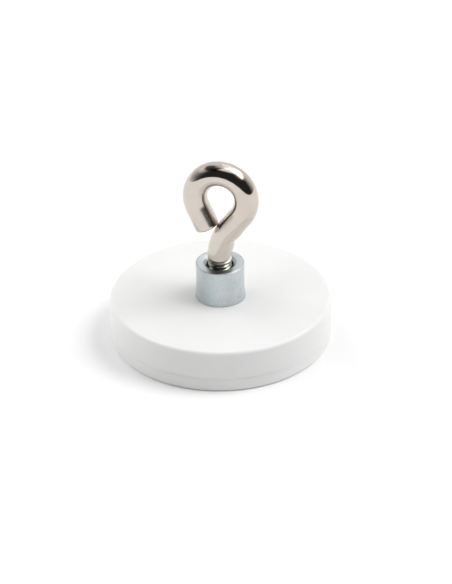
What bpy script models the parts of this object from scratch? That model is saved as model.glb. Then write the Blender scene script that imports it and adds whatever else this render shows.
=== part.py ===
"""A coated round holding magnet with a wire eye that screws into a threaded boss.

Metres, +Z up. The origin is at the middle of the contact face, and +Z runs up the axis of the boss. The eye's
loop stands in the XZ plane.
"""

from math import cos, pi, radians, sin, sqrt, tan

import bmesh
import bpy
from mathutils import Matrix

MM = 0.001
GAP = 0.3 * MM
OVERRUN = 1.0 * MM  # how far a cutter runs past the face it opens

# Jacket
JACKET_R = 36.0 * MM
JACKET_H = 14.4 * MM
SEAM_Z = 4.6 * MM
WALL = 2.1 * MM
LIP = 0.9 * MM
TOP_THICK = 1.8 * MM
FLOOR_THICK = 1.2 * MM
RIM_ROUND = 1.1 * MM
FOOT_ROUND = 0.6 * MM
SEAM_ROUND = 0.25 * MM
TONGUE_TOP_Z = 8.1 * MM
BORE_ROUND = 0.3 * MM

# Magnets, their carrier and the steel plate above them
MAGNET_R = 6.0 * MM
MAGNET_H = 6.0 * MM
MAGNET_CHAMFER = 0.35 * MM
OUTER_COUNT = 12
OUTER_PITCH_R = 26.6 * MM
INNER_COUNT = 6
INNER_PITCH_R = 13.2 * MM
CARRIER_R = JACKET_R - WALL - GAP
CARRIER_HOLE_R = 4.0 * MM
PLATE_H = 4.5 * MM
PLATE_R = JACKET_R - WALL - GAP
PLATE_BEVEL = 0.5 * MM

# Boss
BOSS_H = 12.3 * MM
BOSS_R = 8.0 * MM
BOSS_WAIST_R = 7.8 * MM
BOSS_FOOT_R = 8.1 * MM
BOSS_ROUND = 0.3 * MM
BOSS_COLLAR = 2.4 * MM  # the straight waist starts this far under the top
BOSS_FLARE = 2.6 * MM  # and ends this far above the cover
BOSS_FLARE_LAND = 0.35 * MM
BOSS_UNDERCUT = 0.1 * MM
BOSS_SEAL_LAND = 0.25 * MM
SPIGOT_R = 5.3 * MM
SWAGE_R = 6.5 * MM
COUNTERSINK_R = 5.2 * MM
COUNTERSINK_DEPTH = 1.3 * MM

# M8 thread, coarse
THREAD_R = 3.95 * MM
THREAD_CORE_R = 3.30 * MM
PITCH = 1.25 * MM
THREAD_STEPS = 16
THREAD_CLEARANCE = 0.16 * MM
CREST_HALF = 0.08 * MM
FLANK = radians(30)
THREAD_RUNOUT = 0.4 * MM
THREAD_SUNK = 0.1 * MM  # the ridge's foot is this far inside the core
THREAD_FADED = 0.04 * MM  # and its faded ends are this far inside it

# Wire eye: the shank leans over, kinks, runs straight, then curls back over the shank's axis in three arcs
WIRE_R = 4.0 * MM
SHOULDER_RISE = 1.1 * MM  # the plain wire starts this far above the boss
SHOULDER_RUN = 1.2 * MM
LEAN_R, LEAN = 19.0 * MM, radians(28)
KINK_R, KINK = 5.5 * MM, radians(8)
NECK_RUN = 7.8 * MM
RISE_R, RISE = 9.8 * MM, radians(52.5)
CROWN_R, CROWN = 8.4 * MM, radians(127)
FALL_R, FALL = 9.6 * MM, radians(61)
TAIL_RUN = 7.4 * MM
WIRE_STEP = radians(9)
WIRE_END_ROUND = 0.85 * MM

# Rings
RING_SECTION_R = 0.35 * MM
PERIMETER_SECTION_R = 0.42 * MM
LOCK_RING_H = 1.6 * MM
LOCK_GROOVE_DEPTH = 0.9 * MM
LOCK_RING_INSET = 0.05 * MM

# Levels, worked out from the floor up
MAGNET_Z = FLOOR_THICK + GAP
PLATE_Z = MAGNET_Z + MAGNET_H + GAP
PLATE_TOP_Z = PLATE_Z + PLATE_H
COVER_INNER_Z = JACKET_H - TOP_THICK
BOSS_TOP_Z = JACKET_H + BOSS_H
BORE_END_Z = 11.2 * MM
SHANK_END_Z = 12.2 * MM
THREAD_START_Z = SHANK_END_Z + LOCK_RING_H + 2 * GAP
SHOULDER_Z = BOSS_TOP_Z + SHOULDER_RISE

JACKET_SIDES = 64
BOSS_SIDES = 48
RING_SIDES = 48
MAGNET_SIDES = 16


def clear_scene():
    for obj in list(bpy.data.objects):
        bpy.data.objects.remove(obj, do_unlink=True)


def new_collection(name, hidden=False):
    collection = bpy.data.collections.new(name)
    collection.hide_render = hidden
    bpy.context.scene.collection.children.link(collection)
    return collection


def material(name, colour, roughness, metallic):
    made = bpy.data.materials.new(name)
    made.use_nodes = True
    shader = made.node_tree.nodes["Principled BSDF"]
    shader.inputs["Base Color"].default_value = (*colour, 1.0)
    shader.inputs["Roughness"].default_value = roughness
    shader.inputs["Metallic"].default_value = metallic
    return made


def add_object(name, mesh, collection, look=None):
    obj = bpy.data.objects.new(name, mesh)
    collection.objects.link(obj)
    if look:
        mesh.materials.clear()
        mesh.materials.append(look)
    mesh.shade_smooth()
    mesh.set_sharp_from_angle(angle=radians(35))
    return obj


def add_cutter(name, mesh, collection):
    obj = add_object(name, mesh, collection)
    obj.hide_render = True
    obj.display_type = "WIRE"
    return obj


def profile_mesh(name, points, closed):
    """An outline in the XZ plane, as (radius, height) points joined in order."""
    mesh = bpy.data.meshes.new(name)
    edges = [(i, i + 1) for i in range(len(points) - 1)]
    if closed:
        edges.append((len(points) - 1, 0))
    mesh.from_pydata([(r, 0, z) for r, z in points], edges, [])
    return mesh


def turned(name, points, sides, collection, look, closed=False):
    """A profile turned about Z. It runs from top to bottom down the outer side."""
    obj = add_object(name, profile_mesh(name, points, closed), collection, look)
    screw = obj.modifiers.new("Turn", "SCREW")
    screw.steps = sides
    screw.render_steps = sides
    screw.use_merge_vertices = True
    screw.merge_threshold = 1e-5
    screw.use_smooth_shade = True
    return obj


def arc(centre, radius, start, end, steps):
    """Points on an arc in the (radius, height) plane, from one angle in degrees to another."""
    cx, cz = centre
    angles = [radians(start + (end - start) * i / steps) for i in range(steps + 1)]
    return [(cx + radius * cos(a), cz + radius * sin(a)) for a in angles]


def cut(obj, cutter, operation="DIFFERENCE"):
    boolean = obj.modifiers.new(cutter.name, "BOOLEAN")
    boolean.operation = operation
    boolean.solver = "EXACT"
    boolean.object = cutter
    return boolean


def cylinder_mesh(name, radius, low, high, sides, top_radius=None):
    bm = bmesh.new()
    bmesh.ops.create_cone(
        bm,
        cap_ends=True,
        segments=sides,
        radius1=radius,
        radius2=radius if top_radius is None else top_radius,
        depth=high - low,
        matrix=Matrix.Translation((0, 0, (low + high) / 2)),
    )
    mesh = bpy.data.meshes.new(name)
    bm.to_mesh(mesh)
    bm.free()
    return mesh


def thread_mesh(name, core_r, crest_r, low, high, crest_half):
    """One helical ridge, a right-hand thread that rises out of the core at both ends and is closed all round.

    Its foot reaches a little inside the core, so that a union with the core has a clear overlap. Two ridges
    are in phase when their low ends are whole pitches apart.
    """
    sunk_r = core_r - THREAD_SUNK
    steps = int((high - low) / PITCH * THREAD_STEPS)
    fade = THREAD_STEPS // 2
    start_r = core_r - THREAD_FADED
    bm = bmesh.new()
    rings = []
    for i in range(steps + 1):
        turn = 2 * pi * i / THREAD_STEPS
        middle = low + PITCH * i / THREAD_STEPS
        rise = min(1.0, i / fade, (steps - i) / fade)
        top_r = start_r + (crest_r - start_r) * rise
        half_foot = crest_half + (top_r - sunk_r) * tan(FLANK)
        corners = [
            (sunk_r, -half_foot),
            (top_r, -crest_half),
            (top_r, crest_half),
            (sunk_r, half_foot),
        ]
        ring = [bm.verts.new((r * cos(turn), r * sin(turn), middle + dz)) for r, dz in corners]
        rings.append(ring)
    for ring, following in zip(rings, rings[1:]):
        for k in range(4):
            bm.faces.new((ring[k], ring[k - 1], following[k - 1], following[k]))
    bm.faces.new(rings[0])
    bm.faces.new(reversed(rings[-1]))
    bmesh.ops.recalc_face_normals(bm, faces=bm.faces)
    mesh = bpy.data.meshes.new(name)
    bm.to_mesh(mesh)
    bm.free()
    return mesh


def top_cover(parts, look):
    """The upper half of the jacket: a lid with a rounded rim, and a skirt whose lip laps the base's tongue."""
    outer, inner = JACKET_R, JACKET_R - WALL
    lip_inner = outer - LIP
    shoulder_z = TONGUE_TOP_Z + 2 * PERIMETER_SECTION_R + 2 * GAP
    hole_r = BOSS_R + GAP
    profile = [(hole_r, COVER_INNER_Z)]
    profile += arc((hole_r + BORE_ROUND, JACKET_H - BORE_ROUND), BORE_ROUND, 180, 90, 2)
    profile += arc((outer - RIM_ROUND, JACKET_H - RIM_ROUND), RIM_ROUND, 90, 0, 5)
    profile += arc((outer - SEAM_ROUND, SEAM_Z + SEAM_ROUND), SEAM_ROUND, 0, -90, 2)
    profile += [(lip_inner, SEAM_Z), (lip_inner, shoulder_z), (inner, shoulder_z), (inner, COVER_INNER_Z)]
    return turned("top_cover", profile, JACKET_SIDES, parts, look, closed=True)


def base_cap(parts, look):
    """The lower half of the jacket: a shallow tray whose tongue stands up inside the cover's lip."""
    outer, inner = JACKET_R, JACKET_R - WALL
    tongue_outer = outer - LIP - GAP
    edge_z = SEAM_Z - GAP
    profile = [(0, FLOOR_THICK), (inner, FLOOR_THICK), (inner, TONGUE_TOP_Z), (tongue_outer, TONGUE_TOP_Z)]
    profile += [(tongue_outer, edge_z)]
    profile += arc((outer - SEAM_ROUND, edge_z - SEAM_ROUND), SEAM_ROUND, 90, 0, 2)
    profile += arc((outer - FOOT_ROUND, FOOT_ROUND), FOOT_ROUND, 0, -90, 4)
    profile += [(0, 0)]
    return turned("base_cap", profile, JACKET_SIDES, parts, look)


def seal(name, ring_r, height, section_r, parts, look):
    bpy.ops.mesh.primitive_torus_add(
        major_radius=ring_r,
        minor_radius=section_r,
        major_segments=RING_SIDES,
        minor_segments=8,
        location=(0, 0, height),
    )
    obj = bpy.context.object
    for collection in list(obj.users_collection):
        collection.objects.unlink(obj)
    parts.objects.link(obj)
    obj.name = name
    obj.data.name = name
    obj.data.materials.append(look)
    obj.data.shade_smooth()
    return obj


def backing_plate(parts, look):
    """A steel disc. Its centre hole is countersunk below, where the boss is swaged over."""
    hole_r = SPIGOT_R + GAP
    sink_r = SWAGE_R + GAP * (1 + sqrt(2))
    top, low = PLATE_TOP_Z, PLATE_Z
    profile = [
        (hole_r, low + (sink_r - hole_r)),
        (hole_r, top),
        (PLATE_R - PLATE_BEVEL, top),
        (PLATE_R, top - PLATE_BEVEL),
        (PLATE_R, low + PLATE_BEVEL),
        (PLATE_R - PLATE_BEVEL, low),
        (sink_r, low),
    ]
    return turned("backing_plate", profile, JACKET_SIDES, parts, look, closed=True)


def magnet_places():
    """(name, x, y) of each magnet: an outer ring, then an inner ring turned by half a step."""
    rings = (("outer", OUTER_COUNT, OUTER_PITCH_R, 0.0), ("inner", INNER_COUNT, INNER_PITCH_R, 0.5))
    places = []
    for ring, count, pitch_r, offset in rings:
        for i in range(count):
            turn = 2 * pi * (i + offset) / count
            places.append((f"magnet_{ring}_{i + 1:02d}", pitch_r * cos(turn), pitch_r * sin(turn)))
    return places


def magnet_carrier(parts, cutters, look):
    """A cage as thick as the magnets, with a round pocket for each."""
    top = MAGNET_Z + MAGNET_H
    profile = [
        (CARRIER_HOLE_R, MAGNET_Z),
        (CARRIER_HOLE_R, top),
        (CARRIER_R, top),
        (CARRIER_R, MAGNET_Z),
    ]
    obj = turned("magnet_carrier", profile, JACKET_SIDES, parts, look, closed=True)
    pockets = bpy.data.collections.new("magnet_pockets")
    pockets.hide_render = True
    cutters.children.link(pockets)
    mesh = cylinder_mesh("magnet_pocket", MAGNET_R + GAP, MAGNET_Z - OVERRUN, top + OVERRUN, MAGNET_SIDES)
    for name, x, y in magnet_places():
        pocket = bpy.data.objects.new(name + "_pocket", mesh)
        pocket.location = (x, y, 0)
        pocket.hide_render = True
        pocket.display_type = "WIRE"
        pockets.objects.link(pocket)
    boolean = obj.modifiers.new("Pockets", "BOOLEAN")
    boolean.operation = "DIFFERENCE"
    boolean.solver = "EXACT"
    boolean.operand_type = "COLLECTION"
    boolean.collection = pockets
    return obj


def magnets(parts, look):
    """Every magnet is its own object, and all share one chamfered disc."""
    mesh = cylinder_mesh("magnet", MAGNET_R, MAGNET_Z, MAGNET_Z + MAGNET_H, MAGNET_SIDES)
    bm = bmesh.new()
    bm.from_mesh(mesh)
    rims = [e for e in bm.edges if abs(e.verts[0].co.z - e.verts[1].co.z) < 1e-6]
    bmesh.ops.bevel(bm, geom=rims, offset=MAGNET_CHAMFER, segments=1, affect="EDGES")
    bm.to_mesh(mesh)
    bm.free()
    made = []
    for name, x, y in magnet_places():
        obj = add_object(name, mesh, parts, look)
        obj.location = (x, y, 0)
        made.append(obj)
    return made


def boss_profile():
    """Down the outside from the countersunk mouth to the swaged spigot. The bore is cut afterwards."""
    cover_top, plate_top = JACKET_H, COVER_INNER_Z
    groove_low, groove_high = plate_top + BOSS_SEAL_LAND, cover_top - BOSS_SEAL_LAND
    groove_r = boss_seal_r() - RING_SECTION_R - GAP
    points = [(0, BOSS_TOP_Z)]
    points += arc((BOSS_R - BOSS_ROUND, BOSS_TOP_Z - BOSS_ROUND), BOSS_ROUND, 90, 0, 4)
    points += [
        (BOSS_WAIST_R, BOSS_TOP_Z - BOSS_COLLAR),
        (BOSS_WAIST_R, cover_top + BOSS_FLARE),
        (BOSS_FOOT_R, cover_top + BOSS_FLARE_LAND),
        (BOSS_R, cover_top + BOSS_UNDERCUT),
        (BOSS_R, groove_high),
        (groove_r, groove_high),
        (groove_r, groove_low),
        (BOSS_R, groove_low),
        (BOSS_R, plate_top),
        (SPIGOT_R, plate_top),
        (SPIGOT_R, PLATE_Z + GAP + (SWAGE_R - SPIGOT_R)),
        (SWAGE_R, PLATE_Z + GAP),
        (0, PLATE_Z + GAP),
    ]
    return points


def boss_seal_r():
    return BOSS_R - RING_SECTION_R


def threaded_boss(parts, cutters, look):
    """The steel bush: a blind threaded bore from above, with a countersunk mouth."""
    obj = turned("threaded_boss", boss_profile(), BOSS_SIDES, parts, look)
    bore_r = THREAD_CORE_R + THREAD_CLEARANCE
    crest_r = THREAD_R + THREAD_CLEARANCE
    beyond = BOSS_TOP_Z + 3 * OVERRUN
    drill = add_cutter(
        "boss_drill", cylinder_mesh("boss_drill", bore_r, BORE_END_Z, beyond, THREAD_STEPS), cutters
    )
    crest_half = CREST_HALF - THREAD_CLEARANCE * tan(FLANK) + THREAD_CLEARANCE / cos(FLANK)
    ridge = thread_mesh("boss_tap", bore_r, crest_r, THREAD_START_Z - PITCH, beyond, crest_half)
    tap = add_cutter("boss_tap", ridge, cutters)
    cut(drill, tap, "UNION")
    sink = cylinder_mesh(
        "boss_countersink",
        bore_r - THREAD_SUNK,
        BOSS_TOP_Z - COUNTERSINK_DEPTH,
        BOSS_TOP_Z + COUNTERSINK_DEPTH,
        BOSS_SIDES,
        top_radius=2 * COUNTERSINK_R - bore_r,
    )
    cut(obj, drill)
    cut(obj, add_cutter("boss_countersink", sink, cutters))
    return obj


def wire_path():
    """The eye's centreline in the XZ plane, from inside the threaded shank to the cut end."""
    x, z, heading = 0.0, SHOULDER_Z, pi / 2
    points = [(x, z)]

    def straight(length, pieces):
        nonlocal x, z
        for _ in range(pieces):
            x += length / pieces * cos(heading)
            z += length / pieces * sin(heading)
            points.append((x, z))

    def bend(radius, turn):
        nonlocal x, z, heading
        pieces = max(2, round(abs(turn) / WIRE_STEP))
        chord = 2 * radius * sin(abs(turn) / pieces / 2)
        for _ in range(pieces):
            heading += turn / pieces / 2
            x += chord * cos(heading)
            z += chord * sin(heading)
            heading += turn / pieces / 2
            points.append((x, z))

    straight(SHOULDER_RUN, 1)
    bend(LEAN_R, -LEAN)
    bend(KINK_R, -KINK)
    straight(NECK_RUN, 2)
    bend(RISE_R, RISE)
    bend(CROWN_R, CROWN)
    bend(FALL_R, FALL)
    straight(TAIL_RUN, 2)
    return [(px, 0, pz) for px, pz in points]


def wire_mesh(name):
    """The bent wire as a closed mesh, with its two caps welded on and their rims rounded."""
    points = wire_path()
    curve = bpy.data.curves.new(name, "CURVE")
    curve.dimensions = "3D"
    curve.bevel_depth = WIRE_R
    curve.bevel_resolution = 5
    curve.use_fill_caps = True
    spline = curve.splines.new("POLY")
    spline.points.add(len(points) - 1)
    for point, co in zip(spline.points, points):
        point.co = (*co, 1)
    obj = bpy.data.objects.new(name, curve)
    bpy.context.scene.collection.objects.link(obj)
    graph = bpy.context.evaluated_depsgraph_get()
    mesh = bpy.data.meshes.new_from_object(obj.evaluated_get(graph))
    bpy.data.objects.remove(obj, do_unlink=True)
    bm = bmesh.new()
    bm.from_mesh(mesh)
    bmesh.ops.remove_doubles(bm, verts=bm.verts, dist=1e-6)
    rims = {edge for face in bm.faces if len(face.verts) > 4 for edge in face.edges}
    bmesh.ops.bevel(bm, geom=list(rims), offset=WIRE_END_ROUND, segments=2, profile=0.5, affect="EDGES")
    bmesh.ops.recalc_face_normals(bm, faces=bm.faces)
    bm.to_mesh(mesh)
    bm.free()
    return mesh


def lock_ring_z():
    return SHANK_END_Z + GAP


def eye_bolt(parts, cutters, look):
    """The wire eye with its threaded foot. Its origin is on the thread's axis, at the boss's mouth."""
    wire = wire_mesh("eye_bolt")
    wire.transform(Matrix.Translation((0, 0, -BOSS_TOP_Z)))
    obj = add_object("eye_bolt", wire, parts, look)
    obj.location = (0, 0, BOSS_TOP_Z)
    core = add_cutter(
        "eye_core",
        cylinder_mesh("eye_core", THREAD_CORE_R, SHANK_END_Z, SHOULDER_Z + OVERRUN, THREAD_STEPS),
        cutters,
    )
    ridge_end = SHOULDER_Z - THREAD_RUNOUT
    ridge = thread_mesh("eye_thread", THREAD_CORE_R, THREAD_R, THREAD_START_Z, ridge_end, CREST_HALF)
    cut(core, add_cutter("eye_thread", ridge, cutters), "UNION")
    ring_r = THREAD_CORE_R - LOCK_GROOVE_DEPTH
    low, high = lock_ring_z() - GAP, lock_ring_z() + LOCK_RING_H + GAP
    groove_profile = [
        (ring_r, high),
        (THREAD_R + OVERRUN, high),
        (THREAD_R + OVERRUN, low),
        (ring_r, low),
    ]
    groove = turned("eye_groove", groove_profile, RING_SIDES, cutters, None, closed=True)
    groove.hide_render = True
    groove.display_type = "WIRE"
    cut(obj, core, "UNION")
    cut(obj, groove)
    return obj


def thread_lock_ring(parts, look):
    """A nylon ring in the groove at the foot of the thread."""
    inner = THREAD_CORE_R - LOCK_GROOVE_DEPTH + GAP
    outer = THREAD_CORE_R - LOCK_RING_INSET
    low = lock_ring_z()
    high = low + LOCK_RING_H
    profile = [(inner, high), (outer, high), (outer, low), (inner, low)]
    return turned("thread_lock_ring", profile, RING_SIDES, parts, look, closed=True)


def build():
    clear_scene()
    parts = new_collection("holding_magnet")
    cutters = new_collection("cutters", hidden=True)
    white = material("white_plastic", (0.86, 0.86, 0.84), 0.42, 0.0)
    zinc = material("zinc_plated_steel", (0.56, 0.61, 0.64), 0.36, 1.0)
    nickel = material("polished_nickel", (0.74, 0.70, 0.65), 0.12, 1.0)
    steel = material("plain_steel", (0.42, 0.42, 0.43), 0.45, 1.0)
    carrier = material("carrier_plastic", (0.10, 0.10, 0.11), 0.55, 0.0)
    magnet = material("magnet_nickel", (0.66, 0.65, 0.63), 0.20, 1.0)
    rubber = material("seal_rubber", (0.03, 0.03, 0.03), 0.70, 0.0)
    nylon = material("lock_nylon", (0.10, 0.22, 0.55), 0.45, 0.0)

    base_cap(parts, white)
    top_cover(parts, white)
    backing_plate(parts, steel)
    magnet_carrier(parts, cutters, carrier)
    magnets(parts, magnet)
    threaded_boss(parts, cutters, zinc)
    perimeter_z = TONGUE_TOP_Z + GAP + PERIMETER_SECTION_R
    perimeter_r = JACKET_R - WALL + (WALL - LIP - GAP) / 2
    seal("perimeter_seal", perimeter_r, perimeter_z, PERIMETER_SECTION_R, parts, rubber)
    seal("boss_seal", boss_seal_r(), (COVER_INNER_Z + JACKET_H) / 2, RING_SECTION_R, parts, rubber)
    eye_bolt(parts, cutters, nickel)
    thread_lock_ring(parts, nylon)


build()
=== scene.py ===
from math import atan2, cos, degrees, exp, inf, pi, radians, sin, tan

import bmesh
import bpy
import numpy as np
from mathutils import Matrix, Vector


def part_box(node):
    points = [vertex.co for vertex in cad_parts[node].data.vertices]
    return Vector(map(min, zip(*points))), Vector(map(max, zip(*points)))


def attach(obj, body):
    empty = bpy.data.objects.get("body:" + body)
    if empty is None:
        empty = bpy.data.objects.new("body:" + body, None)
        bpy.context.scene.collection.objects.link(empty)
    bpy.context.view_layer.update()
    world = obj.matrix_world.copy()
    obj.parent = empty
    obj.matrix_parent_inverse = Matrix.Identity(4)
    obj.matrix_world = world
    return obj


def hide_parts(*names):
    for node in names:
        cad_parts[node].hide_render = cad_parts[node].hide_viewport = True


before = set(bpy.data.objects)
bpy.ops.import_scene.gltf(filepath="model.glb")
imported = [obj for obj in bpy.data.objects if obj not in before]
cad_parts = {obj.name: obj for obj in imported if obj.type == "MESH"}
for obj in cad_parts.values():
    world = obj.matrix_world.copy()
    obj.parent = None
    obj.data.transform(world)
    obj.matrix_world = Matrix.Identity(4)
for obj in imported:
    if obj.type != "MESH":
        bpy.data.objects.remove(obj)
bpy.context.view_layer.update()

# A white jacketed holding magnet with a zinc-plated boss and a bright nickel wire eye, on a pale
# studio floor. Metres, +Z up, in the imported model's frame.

MM = 0.001
COVER_LOW, COVER_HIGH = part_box("top_cover")
BASE_LOW, BASE_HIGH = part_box("base_cap")
BOSS_LOW, BOSS_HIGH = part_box("threaded_boss")
EYE_LOW, EYE_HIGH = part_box("eye_bolt")
COVER_TOP = COVER_HIGH.z
BOSS_TOP = BOSS_HIGH.z

# ---------------------------------------------------------------- camera

VIEW_AZIMUTH = radians(16.1)
VIEW_ELEVATION = radians(31.36)
VIEW_ROLL = radians(-0.774)
VIEW_DISTANCE = 1.08
VIEW_LENS = 204.55  # mm, as is the sensor's width
SENSOR_WIDTH = 36.0
VIEW_OFFSET = (1.81 * MM, 0.74 * MM)  # the cover's middle stands this far left of and below the view's


def compass(azimuth, elevation):
    """The unit vector at an azimuth to the right of the camera's side of the object, and an elevation."""
    turn = VIEW_AZIMUTH + radians(azimuth)
    up = radians(elevation)
    return Vector((sin(turn) * cos(up), -cos(turn) * cos(up), sin(up)))


def make_camera():
    data = bpy.data.cameras.new("camera")
    data.sensor_fit = "AUTO"
    data.sensor_width = SENSOR_WIDTH
    data.lens = VIEW_LENS
    data.clip_start = 0.01
    data.clip_end = 50.0
    camera = bpy.data.objects.new("camera", data)
    bpy.context.scene.collection.objects.link(camera)
    back = compass(0, degrees(VIEW_ELEVATION))
    facing = (-back).to_track_quat("-Z", "Y").to_matrix()
    place = Vector((0, 0, COVER_TOP)) + back * VIEW_DISTANCE + facing @ Vector((*VIEW_OFFSET, 0))
    turn = facing @ Matrix.Rotation(VIEW_ROLL, 3, "Z")
    camera.matrix_world = Matrix.Translation(place) @ turn.to_4x4()
    bpy.context.scene.camera = camera


make_camera()
bpy.context.scene.view_settings.view_transform = "Standard"

# ---------------------------------------------------------------- mesh helpers

ARC_STEP = radians(9)
HOLD = 0.08 * MM  # a point this far from each end of an arc keeps the flats beside it flat
SHARP_EDGE = radians(40)
PINHOLE = 0.05 * MM  # radius of the small ring round each closing point


def rounded(corners):
    """An outline from (x, y, radius) corners, each turned into an arc. The two ends stay points."""
    outline = [corners[0][:2]]
    for before, corner, after in zip(corners, corners[1:], corners[2:]):
        x, y, radius = corner
        if radius == 0:
            outline.append((x, y))
            continue
        here = Vector((x, y))
        to_last = (Vector(before[:2]) - here).normalized()
        to_next = (Vector(after[:2]) - here).normalized()
        half = to_last.angle(to_next) / 2
        reach = radius / tan(half)
        centre = here + (to_last + to_next).normalized() * (radius / sin(half))
        first = here + to_last * reach
        last = here + to_next * reach
        start = atan2(*(first - centre).yx)
        sweep = (atan2(*(last - centre).yx) - start + pi) % (2 * pi) - pi
        count = max(2, round(abs(sweep) / ARC_STEP))
        outline.append(tuple(first + to_last * HOLD))
        for k in range(count + 1):
            angle = start + sweep * k / count
            outline.append((centre.x + radius * cos(angle), centre.y + radius * sin(angle)))
        outline.append(tuple(last + to_next * HOLD))
    outline.append(corners[-1][:2])
    return outline


def ring_of(radius, height, sides):
    """A level ring. The radius is a number, or a function of the angle."""
    turn = np.arange(sides) * 2 * pi / sides
    reach = radius(turn) if callable(radius) else np.full(sides, radius)
    return np.stack([reach * np.cos(turn), reach * np.sin(turn), np.full(sides, height)], axis=1)


def skin(name, rings, loop=False):
    """A closed mesh over rings of equal size. With loop the end rings join, else each closes on a point."""
    sides = len(rings[0])
    points = np.concatenate(rings)
    pairs = [(ring, ring + 1) for ring in range(len(rings) - 1)]
    if loop:
        pairs.append((len(rings) - 1, 0))
    faces = []
    for low, high in pairs:
        for k in range(sides):
            beside = (k + 1) % sides
            faces.append((low * sides + k, low * sides + beside, high * sides + beside, high * sides + k))
    if not loop:
        first_tip = len(points)
        last_tip = first_tip + 1
        last_ring = (len(rings) - 1) * sides
        points = np.concatenate([points, [rings[0].mean(axis=0), rings[-1].mean(axis=0)]])
        for k in range(sides):
            beside = (k + 1) % sides
            faces.append((first_tip, beside, k))
            faces.append((last_tip, last_ring + k, last_ring + beside))
    mesh = bpy.data.meshes.new(name)
    mesh.from_pydata(points.tolist(), [], faces)
    bm = bmesh.new()
    bm.from_mesh(mesh)
    bmesh.ops.recalc_face_normals(bm, faces=bm.faces)
    bm.to_mesh(mesh)
    bm.free()
    mesh.shade_smooth()
    mesh.set_sharp_from_angle(angle=SHARP_EDGE)
    piece = bpy.data.objects.new(name, mesh)
    bpy.context.scene.collection.objects.link(piece)
    return piece


def lathe(name, outline, sides, loop=False):
    """A turned piece from its outline of (radius, height) points."""
    return skin(name, [ring_of(radius, height, sides) for radius, height in outline], loop)


# ---------------------------------------------------------------- jacket

JACKET_SIDES = 288
WALL = 2.1 * MM
COVER_SKIN = 1.8 * MM  # thickness of the cover's top
COVER_HOLE = 8.05 * MM
LIP = 0.9 * MM  # thickness of the cover's skirt where the base's tongue goes up inside it
TONGUE_GAP = 0.3 * MM
SEAL_ROOM = 1.44 * MM  # height left over the tongue for its seal
RIM_ROUND = 1.1 * MM
FOOT_ROUND = 0.8 * MM
FOOT_DRAFT = 0.15 * MM
BEAD = 0.17 * MM
BEAD_HALF = 0.25 * MM
BASE_FLOOR = 1.2 * MM
SEAM_GAP = 0.04 * MM


def make_cover():
    """The cover's shell. Its outline runs from the hole over the top, down the skirt and back underneath."""
    outer, top, low = COVER_HIGH.x, COVER_HIGH.z, COVER_LOW.z
    inner = outer - WALL
    under = top - COVER_SKIN
    shoulder = BASE_HIGH.z + SEAL_ROOM
    outline = rounded(
        [
            (COVER_HOLE, under + 1.0 * MM, 0),
            (COVER_HOLE, top, 0.12 * MM),
            (outer, top, RIM_ROUND),
            (outer, low + 2.4 * BEAD_HALF, 0.3 * MM),
            (outer + BEAD, low + BEAD_HALF, 0.15 * MM),
            (outer - 0.03 * MM, low, 0.05 * MM),
            (outer - LIP, low, 0.1 * MM),
            (outer - LIP, shoulder, 0.1 * MM),
            (inner, shoulder, 0.1 * MM),
            (inner, under, 0.5 * MM),
            (COVER_HOLE, under, 0.1 * MM),
            (COVER_HOLE, under + 0.4 * MM, 0),
        ]
    )
    return lathe("cover_shell", outline, JACKET_SIDES, loop=True)


def make_base():
    """The base's shell. Its outline runs from the middle of its floor over the tongue to its underside."""
    outer, top, low = BASE_HIGH.x, BASE_HIGH.z, BASE_LOW.z
    edge = COVER_LOW.z - SEAM_GAP
    tongue = outer - LIP - TONGUE_GAP
    floor = low + BASE_FLOOR
    outline = rounded(
        [
            (PINHOLE, floor, 0),
            (outer - WALL, floor, 0.5 * MM),
            (outer - WALL, top, 0.15 * MM),
            (tongue, top, 0.15 * MM),
            (tongue, edge, 0.1 * MM),
            (outer, edge, 0.07 * MM),
            (outer - FOOT_DRAFT, low, FOOT_ROUND),
            (PINHOLE, low, 0),
        ]
    )
    return lathe("base_shell", outline, JACKET_SIDES)


# ---------------------------------------------------------------- thread

PITCH = 1.25 * MM
THREAD_R = 3.95 * MM
THREAD_CORE = 3.30 * MM
THREAD_START = 14.4 * MM
FEMALE_CLEAR = 0.16 * MM
TURN_STEPS = 12  # rings in one turn of the thread
FADE_IN = 0.5 * PITCH
FADE_OUT = 0.7 * PITCH
CREST_ROUND = 0.35  # share of a rounded flank in a straight one


def thread_radius(core, crest, height, crest_share, start, end=inf, least=0.0):
    """Radius round a right-hand thread at one height, as a function of the angle.

    The thread grows out of its core above the start and sinks back into it below the end.
    """
    fade = min(max((height - start) / FADE_IN, 0), 1) * min(max((end - height) / FADE_OUT, 0), 1)

    def radius(turn):
        along = (height - THREAD_START) / PITCH - turn / (2 * pi)
        away = np.abs((along + 0.5) % 1.0 - 0.5) * 2
        flank = np.clip((1 - away) / (1 - crest_share), 0, 1)
        ridge = flank * flank * (3 - 2 * flank) * CREST_ROUND + flank * (1 - CREST_ROUND)
        return np.maximum(core + (crest - core) * ridge * fade, least)

    return radius


# ---------------------------------------------------------------- boss

BOSS_SIDES = 96
BOSS_R = 8.0 * MM
BRIM_R = 7.93 * MM  # the turned land under the top edge
WAIST_R = 7.87 * MM
FOOT_R = 8.12 * MM  # where the flare meets the cover
SEAL_GROOVE_R = 7.0 * MM
SPIGOT_R = 5.3 * MM  # the part that goes down through the backing plate
SWAGE_R = 6.5 * MM
FLANGE = 0.25 * MM  # thickness of the edge above and below the seal's groove
MOUTH_R = 5.4 * MM
THROAT_R = 4.4 * MM
LEAD_IN = 0.75 * MM
THROAT_SLOPE = 0.6
BORE_END = 11.2 * MM


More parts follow.
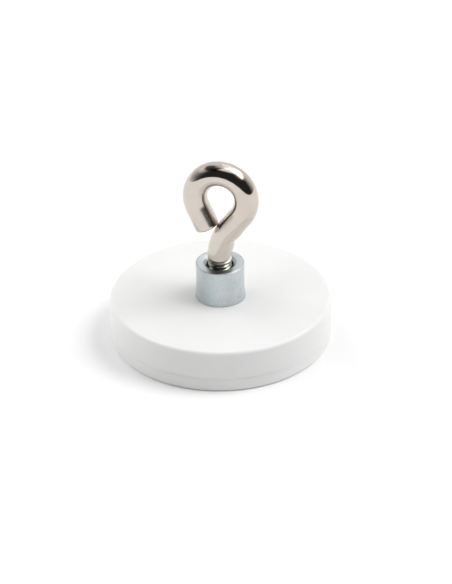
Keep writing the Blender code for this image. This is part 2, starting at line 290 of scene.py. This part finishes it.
def boss_outside():
    """The boss's outline from its top edge down to the middle of its foot."""
    top, low = BOSS_HIGH.z, BOSS_LOW.z
    seat = COVER_TOP + 0.02 * MM
    plate_top = COVER_TOP - COVER_SKIN
    outline = rounded(
        [
            (MOUTH_R, top, 0),
            (BRIM_R, top, 0.24 * MM),
            (BRIM_R, top - 0.75 * MM, 0.4 * MM),
            (WAIST_R, top - 0.95 * MM, 0.4 * MM),
            (WAIST_R, COVER_TOP + 2.8 * MM, 8.0 * MM),
            (FOOT_R, COVER_TOP + 0.1 * MM, 0.06 * MM),
            (FOOT_R - 0.03 * MM, seat, 0.02 * MM),
            (BOSS_R, seat, 0),
            (BOSS_R, COVER_TOP - FLANGE, 0.08 * MM),
            (SEAL_GROOVE_R, COVER_TOP - FLANGE, 0),
            (SEAL_GROOVE_R, plate_top + FLANGE, 0),
            (BOSS_R, plate_top + FLANGE, 0.08 * MM),
            (BOSS_R, plate_top, 0.08 * MM),
            (SPIGOT_R, plate_top, 0.1 * MM),
            (SPIGOT_R, low + (SWAGE_R - SPIGOT_R), 0.2 * MM),
            (SWAGE_R, low, 0.15 * MM),
            (PINHOLE, low, 0),
        ]
    )
    return outline[1:]  # the bore's last ring stands for the mouth's edge


def make_boss():
    """The boss's bush, from the end of its bore up to the mouth and down over its outside."""
    core, crest = THREAD_CORE + FEMALE_CLEAR, THREAD_R + FEMALE_CLEAR
    rings = [ring_of(PINHOLE, BORE_END, BOSS_SIDES), ring_of(core, BORE_END, BOSS_SIDES)]
    steps = int((BOSS_TOP - BORE_END) / (PITCH / TURN_STEPS))
    bore_top = BOSS_TOP - 0.02 * MM
    for i in range(1, steps + 1):
        z = BORE_END + (bore_top - BORE_END) * i / steps
        cone = MOUTH_R - (BOSS_TOP - z) * (MOUTH_R - THROAT_R) / LEAD_IN
        throat = THROAT_R - (BOSS_TOP - LEAD_IN - z) * THROAT_SLOPE
        least = max(cone, throat)
        bore = thread_radius(core, crest, z, crest_share=0.2, start=THREAD_START - PITCH, least=least)
        rings.append(ring_of(bore, z, BOSS_SIDES))
    rings += [ring_of(radius, height, BOSS_SIDES) for radius, height in boss_outside()]
    return skin("boss_bush", rings)


# ---------------------------------------------------------------- eye

WIRE_SIDES = 72
WIRE_R = 4.0 * MM
SHOULDER = BOSS_TOP + 1.1 * MM
# radius and height above the shoulder, in mm
SHOULDER_RINGS = ((3.34, -0.2), (3.62, -0.06), (3.84, 0.06), (3.955, 0.2), (3.99, 0.32))
LOCK_GROOVE_R = THREAD_CORE - 0.9 * MM  # the groove that holds the lock ring
LOCK_GROOVE = 2.2 * MM  # how far the groove goes up from the foot
LEAN_R, LEAN = 19.0 * MM, radians(28)
KINK_R, KINK = 5.5 * MM, radians(8)
RISE_R, RISE = 9.8 * MM, radians(52.5)
CROWN_R, CROWN = 8.4 * MM, radians(127)
FALL_R, FALL = 9.6 * MM, radians(61)
SHOULDER_RUN, NECK_RUN, TAIL_RUN = 1.2 * MM, 7.8 * MM, 7.8 * MM
WIRE_STEP = 0.36 * MM
CREASE_STEP = 0.14 * MM
CREASE_TURN = radians(25.6)  # how far round the lean the crease lies
# middle, width and height of each swell or hollow along the crease, in mm
CREASE_BELLS = ((-3.8, 1.9, 0.13), (-0.15, 1.3, -0.46), (3.1, 1.7, 0.15))
END_ROUND = 0.85 * MM
END_STEPS = 10


def wire_line():
    """(x, z, heading, distance) along the wire's middle, from the shoulder to the cut end."""
    x, z, heading, gone = 0.0, SHOULDER, pi / 2, 0.0
    line = [(x, z, heading, gone)]
    runs = [  # radius and turn of a bend, or length of a straight, and the step along it
        (0, 0, SHOULDER_RUN, WIRE_STEP),
        (LEAN_R, -LEAN, 0, CREASE_STEP),
        (KINK_R, -KINK, 0, CREASE_STEP),
        (0, 0, NECK_RUN, WIRE_STEP),
        (RISE_R, RISE, 0, WIRE_STEP),
        (CROWN_R, CROWN, 0, WIRE_STEP),
        (FALL_R, FALL, 0, WIRE_STEP),
        (0, 0, TAIL_RUN, WIRE_STEP),
    ]
    for radius, turn, run, step in runs:
        length = radius * abs(turn) + run
        count = max(2, round(length / step))
        chord = 2 * radius * sin(abs(turn) / count / 2) if radius else run / count
        for _ in range(count):
            heading += turn / count / 2
            x += chord * cos(heading)
            z += chord * sin(heading)
            heading += turn / count / 2
            gone += length / count
            line.append((x, z, heading, gone))
    return line


def wire_ring(x, z, heading, radius, turn):
    """A ring of the wire at right angles to its heading. Angle 0 is on the right of the heading."""
    side = np.array([sin(heading), 0, -cos(heading)])
    across = np.array([0, 1.0, 0])
    spokes = np.cos(turn)[:, None] * side + np.sin(turn)[:, None] * across
    return np.array([x, 0, z]) + spokes * np.broadcast_to(radius, turn.shape)[:, None]


def crease_depth(along):
    """How far the wire's inner side stands proud of round, at a distance from the crease."""
    depth = 0.0
    for middle, width, height in CREASE_BELLS:
        depth += height * exp(-(((along / MM - middle) / width) ** 2))
    return depth * MM


def foot_rings():
    """The rings of the lock ring's groove, the thread and the shoulder, from the foot up."""
    low = EYE_LOW.z
    thread_low = low + LOCK_GROOVE
    thread_end = SHOULDER - 0.25 * MM
    rings = [
        ring_of(PINHOLE, low, WIRE_SIDES),
        ring_of(LOCK_GROOVE_R - 0.25 * MM, low, WIRE_SIDES),
        ring_of(LOCK_GROOVE_R, low + 0.08 * MM, WIRE_SIDES),
        ring_of(LOCK_GROOVE_R, thread_low - 0.02 * MM, WIRE_SIDES),
    ]
    steps = TURN_STEPS * int((SHOULDER - thread_low) / PITCH) + TURN_STEPS // 2
    start = THREAD_START - 0.3 * MM
    for i in range(steps + 1):
        z = thread_low + (thread_end - thread_low) * i / steps
        thread = thread_radius(THREAD_CORE, THREAD_R, z, crest_share=0.12, start=start, end=thread_end)
        rings.append(ring_of(thread, z, WIRE_SIDES))
    for radius, height in SHOULDER_RINGS:
        rings.append(ring_of(radius * MM, SHOULDER + height * MM, WIRE_SIDES))
    return rings


def make_eye():
    """The eye's wire, from the foot of its thread to its cut end."""
    turn = np.arange(WIRE_SIDES) * 2 * pi / WIRE_SIDES
    line = wire_line()
    crease_at = SHOULDER_RUN + LEAN_R * CREASE_TURN
    inner_side = np.clip(np.cos(turn), 0, 1) ** 3
    x_end, z_end, heading_end, length = line[-1]
    rings = foot_rings()
    for x, z, heading, gone in line[2:]:  # the shoulder's rings stand for the first two points
        if gone <= length - END_ROUND:
            radius = WIRE_R + crease_depth(gone - crease_at) * inner_side
            rings.append(wire_ring(x, z, heading, radius, turn))
    for k in range(END_STEPS + 1):
        angle = pi / 2 * k / END_STEPS
        back = END_ROUND * (1 - sin(angle))
        x, z = x_end - back * cos(heading_end), z_end - back * sin(heading_end)
        rings.append(wire_ring(x, z, heading_end, WIRE_R - END_ROUND * (1 - cos(angle)), turn))
    for radius in (WIRE_R - END_ROUND - 0.1 * MM, PINHOLE):
        rings.append(wire_ring(x_end, z_end, heading_end, radius, turn))
    return skin("eye_wire", rings)


# ---------------------------------------------------------------- nodes and materials


class Nodes:
    """Short ways to add nodes to a node tree."""

    def __init__(self, tree):
        self.tree = tree

    def node(self, kind, **settings):
        made = self.tree.nodes.new(kind)
        for key, value in settings.items():
            setattr(made, key, value)
        return made

    def join(self, source, target):
        """Give a socket a number or a colour, or link it to another socket."""
        if isinstance(source, (int, float)):
            target.default_value = source
        elif isinstance(source, tuple):
            target.default_value = (*source, 1)
        else:
            self.tree.links.new(source, target)

    def maths(self, operation, *values):
        made = self.node("ShaderNodeMath", operation=operation)
        for value, socket in zip(values, made.inputs):
            self.join(value, socket)
        return made.outputs[0]

    def product(self, one, other):
        return self.maths("MULTIPLY", one, other)

    def total(self, one, other):
        return self.maths("ADD", one, other)

    def diagonal(self, x, y):
        return self.maths("SQRT", self.total(self.product(x, x), self.product(y, y)))

    def spread(self, value, low, high, to_low=0.0, to_high=1.0):
        """The value, carried smoothly from the range low to high to another range and held at its ends."""
        made = self.node("ShaderNodeMapRange", interpolation_type="SMOOTHSTEP")
        for item, socket in zip((value, low, high, to_low, to_high), made.inputs):
            self.join(item, socket)
        return made.outputs[0]


class Look(Nodes):
    """A Principled material, in the coordinates of the piece it is on."""

    def __init__(self, name, colour, roughness, metallic=0.0, **sockets):
        self.made = bpy.data.materials.new(name)
        self.made.use_nodes = True
        super().__init__(self.made.node_tree)
        self.shader = self.tree.nodes["Principled BSDF"]
        self.shader.inputs["Base Color"].default_value = (*colour, 1)
        self.shader.inputs["Roughness"].default_value = roughness
        self.shader.inputs["Metallic"].default_value = metallic
        for key, value in sockets.items():
            self.shader.inputs[key.replace("_", " ")].default_value = value
        self.coordinates = self.node("ShaderNodeTexCoord").outputs["Object"]

    def parts(self):
        split = self.node("ShaderNodeSeparateXYZ")
        self.join(self.coordinates, split.inputs[0])
        return split.outputs

    def stretched(self, scale, turn=(0, 0, 0)):
        made = self.node("ShaderNodeMapping")
        self.join(self.coordinates, made.inputs["Vector"])
        made.inputs["Scale"].default_value = scale
        made.inputs["Rotation"].default_value = turn
        return made.outputs[0]

    def noise(self, scale, detail=4, rough=0.55, vector=None, distortion=0.0):
        made = self.node("ShaderNodeTexNoise")
        self.join(vector or self.coordinates, made.inputs["Vector"])
        made.inputs["Scale"].default_value = scale
        made.inputs["Detail"].default_value = detail
        made.inputs["Roughness"].default_value = rough
        made.inputs["Distortion"].default_value = distortion
        return made.outputs[0]

    def mix(self, share, one, other):
        made = self.node("ShaderNodeMix", data_type="RGBA")
        self.join(share, made.inputs["Factor"])
        self.join(one, made.inputs["A"])
        self.join(other, made.inputs["B"])
        return made.outputs["Result"]

    def bump(self, height, distance, strength, below=None):
        made = self.node("ShaderNodeBump")
        made.inputs["Strength"].default_value = strength
        made.inputs["Distance"].default_value = distance
        self.join(height, made.inputs["Height"])
        if below:
            self.join(below, made.inputs["Normal"])
        return made.outputs[0]

    def finish(self, colour, roughness, normal):
        """Feed the shader and give back the material."""
        self.join(colour, self.shader.inputs["Base Color"])
        self.join(roughness, self.shader.inputs["Roughness"])
        self.join(normal, self.shader.inputs["Normal"])
        return self.made


def white_plastic():
    """Satin white plastic that lets a little light in."""
    look = Look("white_plastic_look", (0.82, 0.82, 0.81), 0.42, IOR=1.49, Subsurface_Weight=0.25)
    look.shader.inputs["Subsurface Radius"].default_value = (1.0, 0.85, 0.65)
    look.shader.inputs["Subsurface Scale"].default_value = 0.9 * MM
    cloud = look.noise(38, detail=3)
    grain = look.noise(2600, detail=2, rough=0.6)
    scuffs = look.noise(160, detail=6, rough=0.7, distortion=1.5)
    colour = look.mix(look.spread(cloud, 0.3, 0.7), (0.785, 0.785, 0.775), (0.815, 0.815, 0.81))
    uneven = look.bump(cloud, 0.03 * MM, 0.3)
    return look.finish(
        colour,
        look.spread(scuffs, 0.42, 0.62, 0.36, 0.47),
        look.bump(grain, 0.012 * MM, 0.5, below=uneven),
    )


def zinc_plate():
    """Blue-white zinc, with painted shade in the bore, on the countersink and in a dark line inside the
    top's edge.
    """
    # radius of a painted shade line just inside the top's rounded edge
    shade_line_at = 7.58 * MM
    blue, grey = (0.575, 0.64, 0.655), (0.635, 0.668, 0.70)
    # the last colour is painted shade, laid in the bore, on the countersink and along a line inside the
    # top's edge
    bloomed, shade_black = (0.53, 0.58, 0.58), (0.055, 0.06, 0.052)
    look = Look("zinc_plate_look", (0.60, 0.65, 0.67), 0.3, 1.0)
    patches = look.noise(330, detail=4, rough=0.6, distortion=0.15)
    bloom = look.noise(700, detail=3, rough=0.5)
    plated = look.mix(look.spread(patches, 0.40, 0.60), blue, grey)
    plated = look.mix(look.spread(bloom, 0.52, 0.72, 0, 0.3), plated, bloomed)
    x, y, z = look.parts()
    distance = look.diagonal(x, y)
    # painted shade: the bore below its mouth is painted near black, where the gap round the thread lies in
    # shade
    below_mouth = look.spread(z, BOSS_TOP - 0.9 * MM, BOSS_TOP - 0.45 * MM, 1, 0)
    in_bore = look.spread(distance, 4.5 * MM, 5.1 * MM, 1, 0)
    # painted shade on the countersink's slope
    countersink = look.spread(distance, 5.25 * MM, 5.45 * MM, 0.35, 0)
    # painted shade: a thin dark line round the top, just inside its rounded edge
    off_shade_line = look.maths("ABSOLUTE", look.maths("SUBTRACT", distance, shade_line_at))
    line = look.spread(off_shade_line, 0.04 * MM, 0.16 * MM, 0.34, 0)
    dark = look.maths("MAXIMUM", look.product(in_bore, below_mouth), countersink)
    dark = look.maths("MAXIMUM", dark, line)
    turned = look.noise(1.0, detail=3, rough=0.6, vector=look.stretched((60, 60, 5200)))
    grain = look.noise(2400, detail=2, rough=0.5)
    return look.finish(
        look.mix(dark, plated, shade_black),
        look.spread(patches, 0.3, 0.7, 0.26, 0.36),
        look.bump(grain, 0.003 * MM, 0.5, below=look.bump(turned, 0.005 * MM, 0.6)),
    )


LOOP_X = 0.2 * MM  # the middle of the loop's crown
LOOP_Z = EYE_HIGH.z - CROWN_R - WIRE_R
LOOP_STRETCH = -0.6  # the dull zone round the loop's middle reaches further below it than above it


def bright_nickel():
    """Bright nickel, duller inside the loop where a line rubs, over a thread painted dark with shade that
    deepens down the bore.
    """
    warm, pale = (0.60, 0.54, 0.485), (0.64, 0.58, 0.525)
    # painted shade for the thread below the shoulder, and a darker one for deeper down the bore
    thread_shade, deep_thread_shade = (0.42, 0.40, 0.365), (0.30, 0.305, 0.275)
    thread_dull, most_dull = 0.5, 0.13
    look = Look("bright_nickel_look", (0.62, 0.56, 0.50), 0.08, 1.0)
    haze = look.noise(90, detail=5, rough=0.65, distortion=0.8)
    bright = look.mix(look.spread(haze, 0.35, 0.65), warm, pale)
    x, _, z = look.parts()
    thread = look.spread(z, SHOULDER - 0.05 * MM, SHOULDER + 0.25 * MM, 1, 0)
    # painted shade that deepens going down into the bore
    bore_depth_shade = look.spread(z, SHOULDER - 5 * MM, SHOULDER - 2.5 * MM)
    right = look.maths("SUBTRACT", x, LOOP_X)
    above = look.maths("SUBTRACT", z, LOOP_Z)
    above = look.maths("MAXIMUM", above, look.product(above, LOOP_STRETCH))
    in_loop = look.spread(look.diagonal(right, above), 4.6 * MM, 7.6 * MM, 1, 0)
    dull = look.total(look.product(thread, thread_dull), in_loop)
    polish = look.spread(haze, 0.3, 0.7, 0.06, 0.13)
    waves = look.noise(210, detail=2, rough=0.4)
    scratched = look.stretched((1900, 240, 240), (0.2, 0.4, 0.1))
    scratches = look.noise(1.0, detail=2, rough=0.5, vector=scratched)
    return look.finish(
        look.mix(thread, bright, look.mix(bore_depth_shade, thread_shade, deep_thread_shade)),
        look.total(polish, look.product(dull, most_dull)),
        look.bump(scratches, 0.002 * MM, 0.4, below=look.bump(waves, 0.020 * MM, 0.5)),
    )


def plain_steel():
    """Turned steel with fine rings and a faint stain."""
    look = Look("plain_steel_look", (0.42, 0.42, 0.43), 0.4, 1.0)
    x, y, _ = look.parts()
    rings = look.node("ShaderNodeTexNoise", noise_dimensions="1D")
    look.join(look.product(look.diagonal(x, y), 3800), rings.inputs["W"])
    rings.inputs["Scale"].default_value = 1.0
    stain = look.noise(70, detail=5, rough=0.6)
    return look.finish(
        look.mix(look.spread(stain, 0.35, 0.7), (0.44, 0.44, 0.45), (0.36, 0.355, 0.35)),
        look.spread(stain, 0.3, 0.7, 0.34, 0.5),
        look.bump(rings.outputs[0], 0.01 * MM, 0.5),
    )


def carrier_plastic():
    look = Look("carrier_plastic_look", (0.10, 0.10, 0.11), 0.55)
    grain = look.noise(1400, detail=3)
    return look.finish(
        look.mix(look.spread(grain, 0.3, 0.7), (0.085, 0.085, 0.095), (0.12, 0.12, 0.13)),
        look.spread(grain, 0.3, 0.7, 0.48, 0.62),
        look.bump(grain, 0.02 * MM, 0.4),
    )


def magnet_nickel():
    look = Look("magnet_nickel_look", (0.66, 0.65, 0.63), 0.2, 1.0)
    haze = look.noise(260, detail=4)
    pits = look.noise(1500, detail=2)
    return look.finish(
        look.mix(look.spread(haze, 0.3, 0.7), (0.63, 0.62, 0.60), (0.70, 0.69, 0.67)),
        look.spread(haze, 0.3, 0.7, 0.16, 0.28),
        look.bump(pits, 0.006 * MM, 0.5),
    )


def seal_rubber():
    look = Look("seal_rubber_look", (0.03, 0.03, 0.03), 0.7)
    dust = look.noise(900, detail=4)
    return look.finish(
        look.mix(look.spread(dust, 0.45, 0.75), (0.022, 0.022, 0.023), (0.06, 0.06, 0.058)),
        look.spread(dust, 0.3, 0.7, 0.6, 0.8),
        look.bump(dust, 0.01 * MM, 0.5),
    )


def lock_nylon():
    look = Look("lock_nylon_look", (0.10, 0.22, 0.55), 0.45)
    grain = look.noise(1200, detail=3)
    return look.finish(
        look.mix(look.spread(grain, 0.3, 0.7), (0.08, 0.19, 0.50), (0.13, 0.26, 0.60)),
        look.spread(grain, 0.3, 0.7, 0.4, 0.52),
        look.bump(grain, 0.01 * MM, 0.4),
    )


# ---------------------------------------------------------------- the object


def dress(piece, look):
    piece.data.materials.clear()
    piece.data.materials.append(look)


def make_outside():
    """The four pieces that are seen, each in the place of its CAD node."""
    white, zinc, nickel = white_plastic(), zinc_plate(), bright_nickel()
    for piece, body, node, slot, look in (
        (make_cover(), "magnet_body", "top_cover", "white_plastic", white),
        (make_base(), "magnet_body", "base_cap", "white_plastic", white),
        (make_boss(), "magnet_body", "threaded_boss", "zinc_plated_steel", zinc),
        (make_eye(), "eye", "eye_bolt", "polished_nickel", nickel),
    ):
        dress(piece, look)
        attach(piece, body)
        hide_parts(node)


def dress_inside():
    """Materials for the CAD nodes inside the jacket and in the bore."""
    magnet, rubber = magnet_nickel(), seal_rubber()
    looks = {
        "backing_plate": plain_steel(),
        "magnet_carrier": carrier_plastic(),
        "perimeter_seal": rubber,
        "boss_seal": rubber,
        "thread_lock_ring": lock_nylon(),
    }
    for name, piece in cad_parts.items():
        if name.startswith(("magnet_outer", "magnet_inner")):
            dress(piece, magnet)
        elif name in looks:
            dress(piece, looks[name])


make_outside()
dress_inside()

# ---------------------------------------------------------------- studio

FLOOR_HALF = 6.0
FLOOR_FRONT = 0.45  # the white sheet ends this far in front of the object
FLOOR_GAP = 0.05 * MM
SEEN_WHITE = (0.985, 0.985, 0.985)
ROOM_TINT = (1.0, 0.995, 0.985)


def make_floor():
    bm = bmesh.new()
    bmesh.ops.create_grid(bm, x_segments=2, y_segments=2, size=FLOOR_HALF)
    mesh = bpy.data.meshes.new("studio_floor")
    bm.to_mesh(mesh)
    bm.free()
    floor = bpy.data.objects.new("studio_floor", mesh)
    floor.location = compass(0, 0) * (FLOOR_FRONT - FLOOR_HALF) - Vector((0, 0, FLOOR_GAP))
    floor.rotation_euler = (0, 0, VIEW_AZIMUTH)
    bpy.context.scene.collection.objects.link(floor)
    look = Look("studio_floor_look", (0.94, 0.94, 0.94), 0.9, Specular_IOR_Level=0.1)
    dress(floor, look.made)


class Room(Nodes):
    """The room that the metal mirrors, in degrees of azimuth and elevation as compass() has them."""

    def __init__(self, tree):
        super().__init__(tree)
        self.ray = self.node("ShaderNodeTexCoord").outputs["Generated"]
        across = self.maths("ARCTAN2", self.towards(90, 0), self.towards(0, 0))
        self.azimuth = self.product(across, degrees(1))
        self.elevation = self.product(self.maths("ARCSINE", self.towards(0, 90)), degrees(1))

    def towards(self, azimuth, elevation):
        """How nearly a ray runs in a direction, from 1 to -1."""
        made = self.node("ShaderNodeVectorMath", operation="DOT_PRODUCT")
        self.join(self.ray, made.inputs[0])
        made.inputs[1].default_value = compass(azimuth, elevation)
        return made.outputs["Value"]

    def patch(self, azimuths, elevations, soft, strength):
        """A strength inside two ranges and 0 outside, with soft edges centred on the ends of the ranges."""
        light = strength
        for value, ends, width in zip((self.azimuth, self.elevation), (azimuths, elevations), soft):
            for edge, half in zip(ends, (width / 2, -width / 2)):
                light = self.product(light, self.spread(value, edge - half, edge + half))
        return light

    def walls(self):
        """Walls that are dark behind the camera and grow lighter towards the back, faster on the right."""
        left = self.spread(self.azimuth, -50, -155, 0.025, 0.90)
        right = self.spread(self.azimuth, 58, 130, 0.02, 0.92)
        lit = self.maths("MAXIMUM", left, right)
        lit = self.product(lit, self.spread(self.elevation, 50, 75, 1.0, 0.75))
        dark_panel = self.patch((-140, -40), (42, 68), (24, 9), 0.85)
        return self.product(lit, self.maths("SUBTRACT", 1.0, dark_panel))

    def light(self):
        zenith = self.product(self.spread(self.elevation, 72, 86), 0.4)
        light = self.total(self.walls(), zenith)
        for azimuths, elevations, soft, strength in (
            ((-128, -76), (28, 41), (30, 9), 0.34),  # a glow under the dark panel on the left
            ((-150, -72), (-20, 5), (30, 14), 0.36),  # the lit floor on the left
            ((-48, 140), (62, 100), (26, 12), 1.0),  # the ceiling over the camera and the right
            ((38, 200), (41, 100), (36, 18), 0.45),  # what the softbox spills round itself
            ((58, 132), (41, 69), (18, 10), 4.2),  # the softbox, high on the right
        ):
            light = self.total(light, self.patch(azimuths, elevations, soft, strength))
        return light


def make_world():
    """White where the camera looks past the floor, and the room where the metal mirrors it."""
    world = bpy.data.worlds.new("studio")
    bpy.context.scene.world = world
    world.use_nodes = True
    world.node_tree.nodes.clear()
    room = Room(world.node_tree)
    mirrored = room.node("ShaderNodeBackground")
    room.join(ROOM_TINT, mirrored.inputs["Color"])
    room.join(room.light(), mirrored.inputs["Strength"])
    seen = room.node("ShaderNodeBackground")
    room.join(SEEN_WHITE, seen.inputs["Color"])
    choice = room.node("ShaderNodeMixShader")
    room.join(room.node("ShaderNodeLightPath").outputs["Is Camera Ray"], choice.inputs[0])
    room.join(mirrored.outputs[0], choice.inputs[1])
    room.join(seen.outputs[0], choice.inputs[2])
    room.join(choice.outputs[0], room.node("ShaderNodeOutputWorld").inputs["Surface"])
    world.cycles_visibility.diffuse = False


def make_lamps():
    """Broad soft lamps, which light the object and the floor but aren't mirrored in the metal."""
    for name, azimuth, elevation, strength, width in (
        ("key", 92, 54, 1.65, 38),
        ("left_back", -135, 12, 2.05, 60),
        ("left_high", -88, 52, 0.93, 54),
        ("left_front", -45, 30, 0.38, 60),
        ("right_back", 135, 30, 0.68, 60),
        ("right_low", 90, 12, 0.62, 60),
        ("right_front", 45, 30, 0.20, 60),
        ("top", 0, 90, 0.32, 52),
    ):
        data = bpy.data.lights.new(name, "SUN")
        data.energy = strength
        data.angle = radians(width)
        lamp = bpy.data.objects.new(name, data)
        lamp.rotation_mode = "QUATERNION"
        lamp.rotation_quaternion = compass(azimuth, elevation).to_track_quat("Z", "Y")
        lamp.visible_glossy = False
        bpy.context.scene.collection.objects.link(lamp)


make_floor()
make_world()
make_lamps()
